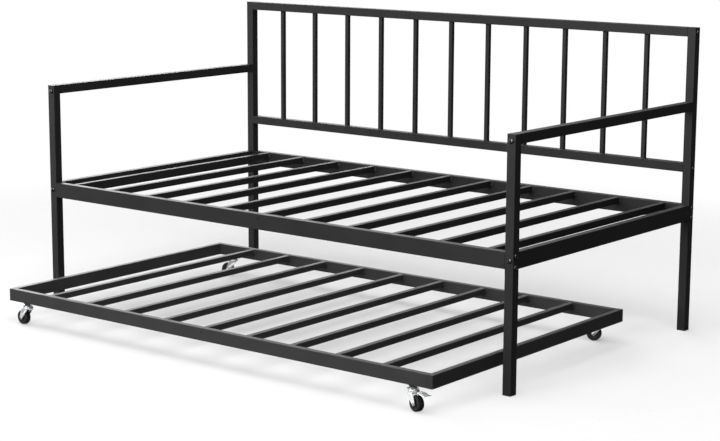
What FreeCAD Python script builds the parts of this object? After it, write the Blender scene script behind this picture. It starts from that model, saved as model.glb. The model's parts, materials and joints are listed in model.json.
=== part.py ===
import FreeCAD, Part
import math
import os

# Trundle bed: a square-tube daybed with a castered lower bed drawn part way out in front of it.
# Millimetres. +X runs to the right along the bed, +Y to the back, +Z up.
# The origin is on the floor, in the middle of the footprint of both beds together.

Vector = FreeCAD.Vector
UP = Vector(0, 0, 1)

# ---- Driving dimensions: upper bed ----
bed_length = 1960.0
bed_width = 1065.0
back_height = 1011.0
arm_height = 769.0
post_size = 30.0
frame_wall = 1.2
corner_radius = 2.0
foot_flange = 4.0
cap_flange = 2.0
foot_plug_depth = 22.0
cap_plug_depth = 9.0
plug_wall = 1.6

seat_top = 426.0
seat_rail_height = 51.0
seat_rail_depth = 25.0
arm_size = 30.0
back_rail_size = 30.0
back_lower_top = 565.0

spindle_count = 11
spindle_size = 15.0
spindle_wall = 1.0

seat_slat_count = 11
seat_slat_pitch = 176.0
slat_width = 20.0
seat_slat_height = 22.0
trundle_slat_height = 20.0
slat_wall = 1.0
small_tube_radius = 1.5
slat_drop = 1.0

# ---- Driving dimensions: fastenings of the upper bed ----
bolt_radius = 4.0
bolt_head_radius = 7.5
bolt_head_height = 4.0
bolt_head_crown = 2.2
bolt_crown_radius = 4.65
bolt_hex_flats = 5.0
bolt_hex_depth = 2.6
bolt_reach = 44.0
bolt_clearance = 0.4
end_plate_thickness = 5.0
seat_bolt_spacing = 33.0
seat_bolt_pair_height = 397.5
side_bolt_height = 400.5
arm_bolt_height = 748.0
back_lower_bolt_height = 548.0
back_top_bolt_height = 995.0
vent_radius = 3.0
vent_drop = 14.0

# ---- Driving dimensions: lower bed ----
trundle_length = 1764.0
trundle_width = 1050.0
trundle_top = 115.0
trundle_rail_height = 41.0
trundle_rail_depth = 20.0
trundle_slat_count = 9
end_cover_thickness = 1.5
end_cover_bevel = 0.8
trundle_drawn_out = 312.0
trundle_side_offset = 30.0
trundle_skew_deg = 0.5
corner_vent_inset = 34.0
corner_vent_radius = 2.5

# ---- Driving dimensions: casters, along their own trailing direction ----
caster_end_inset = 77.0
caster_trail = 20.0
wheel_radius = 24.0
wheel_width = 20.0
hub_radius = 17.0
hub_width = 19.0
hub_rim = 2.5
hub_recess_inner = 7.0
hub_recess_depth = 4.0
hub_boss_width = 22.4
axle_radius = 3.0
running_clearance = 0.06
tyre_edge_radius = 3.5
boss_radius = 9.5
boss_height = 4.0
stem_radius = 4.0
stem_above_rail = 14.0
collar_radius = 7.0
race_radius = 17.0
race_height = 3.4
race_cone_foot = 13.5
race_cone_top = 8.0
race_cone_height = 3.0
race_edge_radius = 1.0
crown_top = 62.0
crown_thickness = 2.2
crown_radius = 19.0
crown_edge_radius = 1.8
crown_skirt = 5.0
race_gap = 0.3
leg_thickness = 2.0
leg_gap = 23.0
leg_tip_radius = 6.5
leg_panel_depth = 0.6
leg_panel_top = 53.5
leg_panel_top_along = (-5.5, 10.0)
leg_panel_foot = (17.0, 36.0)
leg_panel_corner = 2.5
leg_top_back = 13.0
leg_top_front = 17.0
rivet_radius = 3.0
rivet_head_radius = 5.5
rivet_head_height = 2.0
axle_head_radius = 4.5
axle_head_height = 1.6
axle_dimple_radius = 2.0
axle_dimple_depth = 1.2
axle_head_edge_radius = 0.8

# Trailing direction of each caster, in degrees from the lower bed's +X, and whether it has a brake
CASTERS = {
    "front_right": (1, -1, -16.0, True),
    "front_left": (-1, -1, 177.0, False),
    "rear_right": (1, 1, 199.0, True),
    "rear_left": (-1, 1, 219.0, False),
}

# ---- Driving dimensions: brake pedal ----
pedal_thickness = 1.8
pedal_neck_width = 19.0
pedal_pad_width = 25.0
pedal_pivot = (14.0, 53.0)
pedal_neck = (20.0, 55.2)
pedal_rise = (31.0, 59.3)
pedal_crest = (45.0, 60.0)
pedal_toe = (67.0, 54.5)
pedal_lip = (69.0, 57.5)
pedal_cam_start = 27.0
pedal_cam_end = 32.0
pedal_cam_width = 12.0
pedal_cam_bottom = 48.7
pedal_knuckle_radius = 2.8
pin_radius = 1.8
pin_length = 29.0

# ---- Places worked out from the dimensions above ----
half_length = bed_length / 2
half_width = bed_width / 2
post_x = half_length - post_size / 2
post_y = half_width - post_size / 2
inner_half_length = half_length - post_size
inner_half_width = half_width - post_size
trundle_half_length = trundle_length / 2
trundle_half_width = trundle_width / 2
trundle_rail_bottom = trundle_top - trundle_rail_height

skew = math.radians(trundle_skew_deg)
front_reach = (
    trundle_drawn_out
    + trundle_half_width * math.cos(skew)
    + trundle_half_length * math.sin(skew)
)
back_reach = half_width + bolt_head_height
bed_y = (front_reach - back_reach) / 2

BED_PLACE = FreeCAD.Placement(Vector(0, bed_y, 0), FreeCAD.Rotation())
TRUNDLE_PLACE = FreeCAD.Placement(
    Vector(trundle_side_offset, bed_y - trundle_drawn_out, 0),
    FreeCAD.Rotation(UP, trundle_skew_deg),
)


# ---- Building blocks ----
def rounded_outline(centre, across, up, width, height, radius):
    """Closed outline of a rectangle with rounded corners, its sides along the directions across and up."""
    half_across = width / 2 - radius
    half_up = height / 2 - radius
    edges = []
    ends = []
    for quarter in range(4):
        corner_across = half_across if quarter in (0, 3) else -half_across
        corner_up = half_up if quarter in (0, 1) else -half_up
        points = []
        for step in range(3):
            angle = math.radians(90 * quarter + 45 * step)
            along_across = across * (corner_across + radius * math.cos(angle))
            along_up = up * (corner_up + radius * math.sin(angle))
            points.append(centre + along_across + along_up)
        edges.append(Part.Arc(*points).toShape())
        ends.append((points[0], points[2]))
    for (_, arc_end), (next_start, _) in zip(ends, ends[1:] + ends[:1]):
        edges.append(Part.makeLine(arc_end, next_start))
    return Part.Wire(Part.__sortEdges__(edges))


def bar(start, end, width, height, radius):
    """Solid bar of rounded rectangular section between two points on one axis."""
    run = end - start
    if abs(run.x) > 0:
        across, up = Vector(0, 1, 0), UP
    elif abs(run.y) > 0:
        across, up = Vector(1, 0, 0), UP
    else:
        across, up = Vector(1, 0, 0), Vector(0, 1, 0)
    return Part.Face(rounded_outline(start, across, up, width, height, radius)).extrude(run)


def tube(start, end, width, height, wall, radius=corner_radius):
    """Open-ended rectangular tube, with corners rounded outside and inside."""
    outer = bar(start, end, width, height, radius)
    inner = bar(start, end, width - 2 * wall, height - 2 * wall, radius - wall / 2)
    return outer.cut(inner)


def drill(shape, point, direction, radius, depth):
    """Shape with a round hole that starts at point and runs along direction."""
    return shape.cut(Part.makeCylinder(radius, depth, point, direction))


def hex_prism(flats, height):
    """Hexagonal prism on the XY plane, centred on Z."""
    corner = flats / math.sqrt(3)
    points = []
    for side in range(7):
        angle = math.radians(60 * side + 30)
        points.append(Vector(corner * math.cos(angle), corner * math.sin(angle), 0))
    return Part.Face(Part.makePolygon(points)).extrude(Vector(0, 0, height))


def aim(shape, point, direction):
    """Shape built along +Z, turned to direction and moved to point."""
    turned = shape.copy()
    turned.Placement = FreeCAD.Placement(point, FreeCAD.Rotation(UP, direction))
    return turned


# ---- Fastenings of the upper bed ----
def post_bolts(side, end):
    """Head position and outward direction of each bolt in one post; side is -1 left, +1 right, end -1 front."""
    outward_x = Vector(side, 0, 0)
    outward_y = Vector(0, end, 0)
    seat_rail_y = end * (half_width - seat_rail_depth / 2)
    seat_rail_x = side * (half_length - seat_rail_depth / 2)
    bolts = [
        (Vector(seat_rail_x, end * half_width, side_bolt_height), outward_y),
        (Vector(side * post_x, end * half_width, arm_bolt_height), outward_y),
    ]
    for shift in (-seat_bolt_spacing / 2, seat_bolt_spacing / 2):
        height = seat_bolt_pair_height + shift
        bolts.append((Vector(side * half_length, seat_rail_y, height), outward_x))
    if end > 0:
        for height in (back_lower_bolt_height, back_top_bolt_height):
            bolts.append((Vector(side * half_length, post_y, height), outward_x))
    return bolts


def all_bolts():
    places = []
    for side in (-1, 1):
        for end in (-1, 1):
            places += post_bolts(side, end)
    return places


def button_bolt():
    """Socket button-head bolt: seat of the head at z = 0, shank below it."""
    base = Part.makeCylinder(bolt_head_radius, bolt_head_height - bolt_head_crown)
    crown_foot = Vector(0, 0, bolt_head_height - bolt_head_crown)
    crown = Part.makeCone(bolt_head_radius, bolt_crown_radius, bolt_head_crown, crown_foot)
    head = base.fuse(crown).removeSplitter()
    socket = hex_prism(bolt_hex_flats, bolt_hex_depth)
    socket.translate(Vector(0, 0, bolt_head_height - bolt_hex_depth))
    shank = Part.makeCylinder(bolt_radius, bolt_reach, Vector(0, 0, -bolt_reach))
    return head.cut(socket).fuse(shank).removeSplitter()


def frame_bolts():
    return [aim(button_bolt(), point, direction) for point, direction in all_bolts()]


def drilled_for_bolts(shape, clearance):
    """Shape with holes along every bolt that reaches it, wider than the shank by clearance all round."""
    for point, direction in all_bolts():
        hole = Part.makeCylinder(bolt_radius + clearance, bolt_reach, point, -direction)
        if shape.common(hole).Volume > 0:
            shape = shape.cut(hole)
    return shape


def end_plate(tube_end, inward, depth, height):
    """Plate that fills the end of a tube of the given outer size, drilled for its bolts."""
    fitted = (depth - 2 * frame_wall, height - 2 * frame_wall)
    plate_end = tube_end + inward * end_plate_thickness
    plate = bar(tube_end, plate_end, *fitted, corner_radius - frame_wall / 2)
    return drilled_for_bolts(plate, running_clearance)


def end_plates():
    """Plates welded into the tube ends, one at each end of every bolted rail."""
    seat_centre_z = seat_top - seat_rail_height / 2
    seat_rail_y = half_width - seat_rail_depth / 2
    seat_rail_x = half_length - seat_rail_depth / 2
    plates = []
    for side in (-1, 1):
        inward = Vector(-side, 0, 0)
        for end in (-1, 1):
            spot = Vector(side * inner_half_length, end * seat_rail_y, seat_centre_z)
            plates.append(end_plate(spot, inward, seat_rail_depth, seat_rail_height))
        for top in (back_lower_top, back_height):
            spot = Vector(side * inner_half_length, post_y, top - back_rail_size / 2)
            plates.append(end_plate(spot, inward, back_rail_size, back_rail_size))
        for end in (-1, 1):
            inward = Vector(0, -end, 0)
            spot = Vector(side * seat_rail_x, end * inner_half_width, seat_centre_z)
            plates.append(end_plate(spot, inward, seat_rail_depth, seat_rail_height))
            spot = Vector(side * post_x, end * inner_half_width, arm_height - arm_size / 2)
            plates.append(end_plate(spot, inward, arm_size, arm_size))
    return plates


# ---- Upper bed ----
def post(side, end):
    height = arm_height if end < 0 else back_height
    start = Vector(side * post_x, end * post_y, foot_flange)
    top = Vector(side * post_x, end * post_y, height - cap_flange)
    return drilled_for_bolts(tube(start, top, post_size, post_size, frame_wall), bolt_clearance)


def post_corners():
    return [(side, end) for end in (-1, 1) for side in (-1, 1)]


def tube_plug(centre, flange_height, neck_depth, direction):
    """Plastic plug: a flange as wide as the post and a hollow neck inside it, along direction."""
    inside = post_size - 2 * frame_wall
    neck_radius = corner_radius - frame_wall / 2
    flange = bar(centre, centre + direction * flange_height, post_size, post_size, corner_radius)
    neck_start = centre + direction * flange_height
    neck_end = neck_start + direction * neck_depth
    neck = tube(neck_start, neck_end, inside, inside, plug_wall, neck_radius)
    return flange.fuse(neck).removeSplitter()


def post_feet():
    return [
        tube_plug(Vector(side * post_x, end * post_y, 0), foot_flange, foot_plug_depth, UP)
        for side, end in post_corners()
    ]


def post_caps():
    caps = []
    for side, end in post_corners():
        height = arm_height if end < 0 else back_height
        centre = Vector(side * post_x, end * post_y, height)
        caps.append(tube_plug(centre, cap_flange, cap_plug_depth, -UP))
    return caps


def long_seat_rail(end):
    centre = (end * (half_width - seat_rail_depth / 2), seat_top - seat_rail_height / 2)
    rail = tube(
        Vector(-inner_half_length, *centre),
        Vector(inner_half_length, *centre),
        seat_rail_depth,
        seat_rail_height,
        frame_wall,
    )
    if end < 0:
        vent = Vector(0, -half_width, seat_top - vent_drop)
        rail = drill(rail, vent, Vector(0, 1, 0), vent_radius, seat_rail_depth / 2)
    return rail


def side_tube(side, depth, height, top):
    """Tube along Y between the front and rear posts, its outer face flush with theirs."""
    x = side * (half_length - depth / 2)
    z = top - height / 2
    return tube(
        Vector(x, -inner_half_width, z), Vector(x, inner_half_width, z), depth, height, frame_wall
    )


def back_rail(top):
    z = top - back_rail_size / 2
    return tube(
        Vector(-inner_half_length, post_y, z),
        Vector(inner_half_length, post_y, z),
        back_rail_size,
        back_rail_size,
        frame_wall,
    )


def back_spindles():
    """Upright bars of the back, evenly spaced, flush with the front of the back rails."""
    pitch = (2 * inner_half_length + spindle_size) / (spindle_count + 1)
    y = inner_half_width + spindle_size / 2
    bars = []
    for number in range(spindle_count):
        x = (number - (spindle_count - 1) / 2) * pitch
        start = Vector(x, y, back_lower_top)
        top = Vector(x, y, back_height - back_rail_size)
        bars.append(tube(start, top, spindle_size, spindle_size, spindle_wall, small_tube_radius))
    return bars


def slat(x, half_span, top, height):
    z = top - slat_drop - height / 2
    front = Vector(x, -half_span, z)
    back = Vector(x, half_span, z)
    return tube(front, back, slat_width, height, slat_wall, small_tube_radius)


def seat_slat(number):
    x = (number - (seat_slat_count - 1) / 2) * seat_slat_pitch
    return slat(x, half_width - seat_rail_depth, seat_top, seat_slat_height)


def upper_bed():
    parts = {}
    names = {-1: "left", 1: "right"}
    ends = {-1: "front", 1: "rear"}
    for side, end in post_corners():
        parts[f"post_{ends[end]}_{names[side]}"] = [post(side, end)]
    for end in (-1, 1):
        parts[f"seat_rail_{ends[end]}"] = [long_seat_rail(end)]
    for side in (-1, 1):
        parts[f"seat_rail_{names[side]}"] = [
            side_tube(side, seat_rail_depth, seat_rail_height, seat_top)
        ]
        parts[f"arm_rail_{names[side]}"] = [side_tube(side, arm_size, arm_size, arm_height)]
    parts["back_rail_top"] = [back_rail(back_height)]
    parts["back_rail_lower"] = [back_rail(back_lower_top)]
    parts["back_spindles"] = back_spindles()
    for number in range(seat_slat_count):
        parts[f"seat_slat_{number + 1}"] = [seat_slat(number)]
    parts["post_end_plugs"] = post_feet() + post_caps()
    parts["frame_bolts"] = frame_bolts()
    parts["rail_end_plates"] = end_plates()
    return parts


# ---- Lower bed, in its own frame: centre of its footprint, on the floor ----
def caster_spot(side, end):
    x = side * (trundle_half_length - caster_end_inset)
    y = end * (trundle_half_width - trundle_rail_depth / 2)
    return Vector(x, y, 0)


def end_cover(x, y, z, inward):
    """Plate welded over the end of a side rail, its outer edge bevelled."""
    outer = Vector(x, y, z)
    inner = outer + Vector(0, inward * end_cover_thickness, 0)
    cover = bar(outer, inner, trundle_rail_depth, trundle_rail_height, corner_radius)
    rim = [edge for edge in cover.Edges if edge.BoundBox.YLength < 1e-6 and is_at(edge, y)]
    return cover.makeChamfer(end_cover_bevel, rim)


def is_at(edge, y):
    """True for an edge in the plane of the given y."""
    return abs(edge.CenterOfMass.y - y) < 1e-6


def trundle_side_rail(side):
    """Side rail over the whole width of the lower bed, its ends closed by welded plates."""
    x = side * (trundle_half_length - trundle_rail_depth / 2)
    z = trundle_top - trundle_rail_height / 2
    reach = trundle_half_width - end_cover_thickness
    rail = tube(
        Vector(x, -reach, z), Vector(x, reach, z), trundle_rail_depth, trundle_rail_height, frame_wall
    )
    for end in (-1, 1):
        rail = rail.fuse(end_cover(x, end * trundle_half_width, z, -end))
    return rail.removeSplitter()


def trundle_long_rail(end):
    """Front or rear rail, drilled for the caster stems, the corner vents and a centre vent."""
    reach = trundle_half_length - trundle_rail_depth
    y = end * (trundle_half_width - trundle_rail_depth / 2)
    z = trundle_top - trundle_rail_height / 2
    rail = tube(
        Vector(-reach, y, z), Vector(reach, y, z), trundle_rail_depth, trundle_rail_height, frame_wall
    )
    for side in (-1, 1):
        spot = caster_spot(side, end) + Vector(0, 0, trundle_rail_bottom - 1)
        rail = drill(rail, spot, UP, stem_radius + bolt_clearance, trundle_rail_depth / 2)
        inner_y = end * (trundle_half_width - trundle_rail_depth)
        vent = Vector(side * (reach - corner_vent_inset), inner_y, trundle_top - vent_drop)
        rail = drill(rail, vent, Vector(0, end, 0), corner_vent_radius, trundle_rail_depth / 2)
    if end < 0:
        vent = Vector(0, -trundle_half_width, trundle_top - vent_drop)
        rail = drill(rail, vent, Vector(0, 1, 0), vent_radius, trundle_rail_depth / 2)
    return rail


def trundle_slat(number):
    clear_length = trundle_length - 2 * trundle_rail_depth
    pitch = (clear_length + slat_width) / (trundle_slat_count + 1)
    x = (number - (trundle_slat_count - 1) / 2) * pitch
    return slat(x, trundle_half_width - trundle_rail_depth, trundle_top, trundle_slat_height)


# ---- Casters, in their own frame: swivel axis on Z, floor at z = 0, trailing along +X ----
def caster_boss():
    """Round steel boss welded under the rail, with the stem's hole through it."""
    base = Vector(0, 0, trundle_rail_bottom - boss_height)
    boss = Part.makeCylinder(boss_radius, boss_height, base)
    return drill(boss, base, UP, stem_radius + running_clearance, boss_height)


def caster_stem():
    """Stem, collar, coned upper bearing race and the rivet that holds the fork's crown."""
    boss_bottom = trundle_rail_bottom - boss_height
    race_bottom = crown_top + race_gap
    race_top = race_bottom + race_height
    race = Part.makeCylinder(race_radius, race_height, Vector(0, 0, race_bottom))
    race = race.makeFillet(race_edge_radius, [edge for edge in race.Edges if is_rim(edge, race_top)])
    cone = Part.makeCone(race_cone_foot, race_cone_top, race_cone_height, Vector(0, 0, race_top))
    collar = Part.makeCylinder(collar_radius, boss_bottom - race_top, Vector(0, 0, race_top))
    stem_height = trundle_rail_bottom + stem_above_rail - boss_bottom
    stem = Part.makeCylinder(stem_radius, stem_height, Vector(0, 0, boss_bottom))
    rivet_bottom = crown_top - crown_thickness - race_gap
    rivet = Part.makeCylinder(rivet_radius, race_bottom - rivet_bottom, Vector(0, 0, rivet_bottom))
    head = Part.makeCylinder(
        rivet_head_radius, rivet_head_height, Vector(0, 0, rivet_bottom - rivet_head_height)
    )
    return race.fuse([cone, collar, stem, rivet, head]).removeSplitter()


def leg_outline(y):
    """Tapered side of the fork: straight top, round tip about the axle."""
    top = crown_top - crown_thickness
    tip = (caster_trail, wheel_radius)
    back_point = Vector(-leg_top_back, y, top)
    front_point = Vector(leg_top_front, y, top)
    back_tangent = tangent_point((-leg_top_back, top), tip, leg_tip_radius, 1)
    front_tangent = tangent_point((leg_top_front, top), tip, leg_tip_radius, -1)
    back_tip = Vector(back_tangent[0], y, back_tangent[1])
    front_tip = Vector(front_tangent[0], y, front_tangent[1])
    lowest = Vector(tip[0], y, tip[1] - leg_tip_radius)
    edges = [
        Part.makeLine(front_point, back_point),
        Part.makeLine(back_point, back_tip),
        Part.Arc(back_tip, lowest, front_tip).toShape(),
        Part.makeLine(front_tip, front_point),
    ]
    return Part.Wire(edges)


def tangent_point(point, centre, radius, turn):
    """Where a line from point touches the circle; turn picks one of the two tangents."""
    dx = centre[0] - point[0]
    dz = centre[1] - point[1]
    distance = math.hypot(dx, dz)
    heading = math.atan2(dz, dx)
    swing = math.asin(radius / distance)
    run = math.sqrt(distance**2 - radius**2)
    angle = heading - turn * swing
    return (point[0] + run * math.cos(angle), point[1] + run * math.sin(angle))


def leg_panel(side):
    """Shallow tapered recess pressed into a leg's outer face."""
    base_y = side * (leg_gap / 2 + leg_thickness - leg_panel_depth)
    points = [(along, leg_panel_top) for along in leg_panel_top_along] + [leg_panel_foot]
    outline = [Vector(along, base_y, up) for along, up in points]
    outward = Vector(0, side * leg_thickness, 0)
    panel = Part.Face(Part.makePolygon(outline + outline[:1])).extrude(outward)
    for corner in outline:
        round_end = Part.makeCylinder(leg_panel_corner, leg_thickness, corner, outward)
        panel = panel.fuse(round_end)
    for start, end in zip(outline, outline[1:] + outline[:1]):
        run = end - start
        square = Vector(-run.z, 0, run.x).normalize() * leg_panel_corner
        band = [start - square, end - square, end + square, start + square, start - square]
        panel = panel.fuse(Part.Face(Part.makePolygon(band)).extrude(outward))
    return panel


def caster_fork(braked):
    """Pressed crown with a short skirt and two legs, pierced for the rivet, the axle and a brake's pin."""
    skirt_bottom = crown_top - crown_skirt
    crown = Part.makeCylinder(crown_radius, crown_skirt, Vector(0, 0, skirt_bottom))
    top_rims = [edge for edge in crown.Edges if is_rim(edge, crown_top)]
    crown = crown.makeFillet(crown_edge_radius, top_rims)
    hollow = Part.makeCylinder(
        crown_radius - leg_thickness, crown_skirt - crown_thickness, Vector(0, 0, skirt_bottom)
    )
    fork = crown.cut(hollow)
    for side in (-1, 1):
        inner_y = side * leg_gap / 2
        leg = Part.Face(leg_outline(inner_y)).extrude(Vector(0, side * leg_thickness, 0))
        fork = fork.fuse(leg).cut(leg_panel(side))
    fork = fork.removeSplitter()
    fork = drill(fork, Vector(0, 0, skirt_bottom), UP, rivet_radius + running_clearance, crown_skirt)
    across = leg_gap + 4 * leg_thickness
    axle_start = Vector(caster_trail, -across / 2, wheel_radius)
    fork = drill(fork, axle_start, Vector(0, 1, 0), axle_radius + running_clearance, across)
    if braked:
        fork = fork.cut(cross_pin(pin_radius + running_clearance, across))
    return fork


def is_rim(edge, height):
    """True for a round edge at the given height."""
    return abs(edge.CenterOfMass.z - height) < 1e-6 and edge.Curve.TypeId == "Part::GeomCircle"


def caster_axle():
    """Axle rivet: a head outside each leg, with a dimple in its face."""
    outer_y = leg_gap / 2 + leg_thickness
    axle = Part.makeCylinder(axle_radius, 2 * outer_y, Vector(0, -outer_y, 0), Vector(0, 1, 0))
    for side in (-1, 1):
        outward = Vector(0, side, 0)
        head = Part.makeCylinder(axle_head_radius, axle_head_height)
        top_rims = [edge for edge in head.Edges if is_rim(edge, axle_head_height)]
        head = head.makeFillet(axle_head_edge_radius, top_rims)
        floor = Vector(0, 0, axle_head_height - axle_dimple_depth)
        head = drill(head, floor, UP, axle_dimple_radius, axle_dimple_depth)
        axle = axle.fuse(aim(head, outward * outer_y, outward))
    axle = axle.removeSplitter()
    axle.translate(Vector(caster_trail, 0, wheel_radius))
    return axle


def centred_disc(radius, width):
    """Disc about the axle's line, centred between the legs."""
    return Part.makeCylinder(
        radius, width, Vector(caster_trail, -width / 2, wheel_radius), Vector(0, 1, 0)
    )


def caster_tyre():
    outer = centred_disc(wheel_radius, wheel_width)
    rims = [edge for edge in outer.Edges if edge.Curve.TypeId == "Part::GeomCircle"]
    return outer.makeFillet(tyre_edge_radius, rims).cut(centred_disc(hub_radius, wheel_width))


def caster_hub():
    """Moulded hub: a disc dished on both sides round a boss that nearly fills the fork."""
    hub = centred_disc(hub_radius, hub_width)
    for side in (-1, 1):
        start = Vector(caster_trail, side * (hub_width / 2 - hub_recess_depth), wheel_radius)
        dish = Part.makeCylinder(hub_radius - hub_rim, wheel_width, start, Vector(0, side, 0))
        hub = hub.cut(dish)
    hub = hub.fuse(centred_disc(hub_recess_inner, hub_boss_width)).removeSplitter()
    return hub.cut(centred_disc(axle_radius + running_clearance, hub_boss_width))


def pedal_strip(start, end, width):
    """Flat length of the pressed pedal between two points, each (along, up), with rounded bends."""
    run = Vector(end[0] - start[0], 0, end[1] - start[1])
    half = Vector(-run.z, 0, run.x).normalize() * (pedal_thickness / 2)
    near = Vector(start[0], -width / 2, start[1])
    far = Vector(end[0], -width / 2, end[1])
    corners = [near - half, far - half, far + half, near + half, near - half]
    strip = Part.Face(Part.makePolygon(corners)).extrude(Vector(0, width, 0))
    bends = [
        Part.makeCylinder(pedal_thickness / 2, width, point, Vector(0, 1, 0)) for point in (near, far)
    ]
    return strip.fuse(bends)


def cross_pin(radius, length):
    """Round bar across the fork, on the pedal's pivot."""
    start = Vector(pedal_pivot[0], -length / 2, pedal_pivot[1])
    return Part.makeCylinder(radius, length, start, Vector(0, 1, 0))


def brake_pedal():
    """Foot pedal on a cross pin: a neck under the crown, a wider pad and a cam above the tyre."""
    neck = pedal_strip(pedal_pivot, pedal_neck, pedal_neck_width)
    rise = pedal_strip(pedal_neck, pedal_rise, pedal_neck_width)
    pad = pedal_strip(pedal_rise, pedal_crest, pedal_pad_width)
    toe = pedal_strip(pedal_crest, pedal_toe, pedal_pad_width)
    lip = pedal_strip(pedal_toe, pedal_lip, pedal_pad_width)
    cam_top = pedal_rise[1] - pedal_thickness
    cam = Part.makeBox(
        pedal_cam_end - pedal_cam_start,
        pedal_cam_width,
        cam_top - pedal_cam_bottom,
        Vector(pedal_cam_start, -pedal_cam_width / 2, pedal_cam_bottom),
    )
    knuckle = cross_pin(pedal_knuckle_radius, pedal_neck_width)
    pin = cross_pin(pin_radius, pin_length)
    return neck.fuse([rise, pad, toe, lip, cam, knuckle, pin]).removeSplitter()


def caster_place(side, end, heading):
    return FreeCAD.Placement(caster_spot(side, end), FreeCAD.Rotation(UP, heading))


def lower_bed():
    parts = {}
    names = {-1: "left", 1: "right"}
    ends = {-1: "front", 1: "rear"}
    for side in (-1, 1):
        parts[f"trundle_rail_{names[side]}"] = [trundle_side_rail(side)]
    for end in (-1, 1):
        parts[f"trundle_rail_{ends[end]}"] = [trundle_long_rail(end)]
    for number in range(trundle_slat_count):
        parts[f"trundle_slat_{number + 1}"] = [trundle_slat(number)]
    bosses = []
    stems = []
    for name, (side, end, heading, braked) in CASTERS.items():
        place = caster_place(side, end, heading)
        pieces = {
            f"caster_fork_{name}": caster_fork(braked),
            f"caster_axle_{name}": caster_axle(),
            f"caster_tyre_{name}": caster_tyre(),
            f"caster_hub_{name}": caster_hub(),
        }
        if braked:
            pieces[f"caster_brake_{name}"] = brake_pedal()
        for node, shape in pieces.items():
            shape.Placement = place.multiply(shape.Placement)
            parts[node] = [shape]
        for shape, group in ((caster_boss(), bosses), (caster_stem(), stems)):
            shape.Placement = place.multiply(shape.Placement)
            group.append(shape)
    parts["caster_bosses"] = bosses
    parts["caster_stems"] = stems
    return parts


# ---- Writing the parts ----
def write_node(name, shapes, place):
    for shape in shapes:
        shape.Placement = place.multiply(shape.Placement)
        if not shape.isValid():
            raise ValueError(f"{name} is not a valid solid")
    whole = shapes[0] if len(shapes) == 1 else Part.makeCompound(shapes)
    whole.exportStep(os.path.join("parts", f"{name}.step"))


def main():
    os.makedirs("parts", exist_ok=True)
    for name, shapes in upper_bed().items():
        write_node(name, shapes, BED_PLACE)
    for name, shapes in lower_bed().items():
        write_node(name, shapes, TRUNDLE_PLACE)
    print("origin to bed centre, mm:", round(bed_y, 3))


main()
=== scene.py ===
import json
import math

import bmesh
import bpy
from mathutils import Matrix, Vector


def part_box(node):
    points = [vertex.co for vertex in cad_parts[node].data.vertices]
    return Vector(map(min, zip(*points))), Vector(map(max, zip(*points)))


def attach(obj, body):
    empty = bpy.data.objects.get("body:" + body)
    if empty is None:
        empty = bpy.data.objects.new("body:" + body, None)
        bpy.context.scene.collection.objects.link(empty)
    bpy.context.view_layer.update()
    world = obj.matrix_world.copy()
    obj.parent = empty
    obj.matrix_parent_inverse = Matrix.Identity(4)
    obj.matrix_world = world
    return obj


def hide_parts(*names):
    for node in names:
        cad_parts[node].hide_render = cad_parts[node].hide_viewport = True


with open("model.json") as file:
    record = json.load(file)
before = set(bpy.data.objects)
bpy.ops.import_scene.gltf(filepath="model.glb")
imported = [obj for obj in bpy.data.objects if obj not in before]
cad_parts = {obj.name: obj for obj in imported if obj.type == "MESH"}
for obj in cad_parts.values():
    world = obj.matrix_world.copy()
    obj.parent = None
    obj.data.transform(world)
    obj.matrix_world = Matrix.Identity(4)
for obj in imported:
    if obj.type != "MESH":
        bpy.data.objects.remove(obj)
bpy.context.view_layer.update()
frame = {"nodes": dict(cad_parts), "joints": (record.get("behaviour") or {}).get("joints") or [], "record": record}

# Looks for the trundle bed. Metres, in the CAD frame: +X right, +Y back, +Z up, floor at z = 0.

NODES = frame["nodes"]
JOINTS = {joint["name"]: joint for joint in frame["joints"]}
CORNERS = ("front_left", "front_right", "rear_left", "rear_right")

# ---- Camera, lights and floor ----
CAMERA_PLACE = Vector((3.841, -4.668, 1.465))
CAMERA_YAW = math.radians(-38.6)
CAMERA_PITCH = math.radians(-10.43)
CAMERA_ROLL = math.radians(0.29)
# Millimetres, as Blender has them
CAMERA_LENS = 91.45
CAMERA_SENSOR_WIDTH = 36.0
CAMERA_CLIP_START = 0.1
CAMERA_CLIP_END = 60.0
LIGHT_TARGET = (0.0, 0.0, 0.4)
# Name, place, width, height and power in watts of each area light
AREA_LIGHTS = (
    ("key", (0.0, -6.4, 1.9), 3.6, 2.6, 315.0),
    ("left", (-4.6, -1.0, 6.0), 3.2, 3.2, 150.0),
    ("panel", (-5.5, -2.1, 0.9), 3.0, 1.8, 45.0),
    ("top", (1.0, -1.0, 5.0), 5.0, 5.0, 340.0),
)
FLOOR_RADIUS = 5.0
FLOOR_SEGMENTS = 96
FLOOR_FADE_CENTRE = (-0.5, 0.5, 0.0)
FLOOR_FADE_START = 0.9
FLOOR_FADE_END = 2.6
BACKDROP_BRIGHTNESS = 1.0
ROOM_DIM = 0.08
# Direction, cosine at the rim and brightness of each glow that the object reflects:
# a window at the back left, and the white floor at the left
ROOM_GLOWS = (
    ((-0.88, 0.47, 0.25), 0.86, 6.9),
    ((-0.95, -0.20, -0.24), 0.90, 1.2),
)

# ---- Sizes of the modelled details ----
TYRE_RADIUS = 0.024
TYRE_WIDTH = 0.020
TYRE_BORE = 0.017
BORE_CHAMFER = 0.0008
SHOULDER_RADIUS = 0.0035
SHOULDER_STEPS = 8
SHOULDER_STEPS_WITHOUT_TREAD = 3
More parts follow.
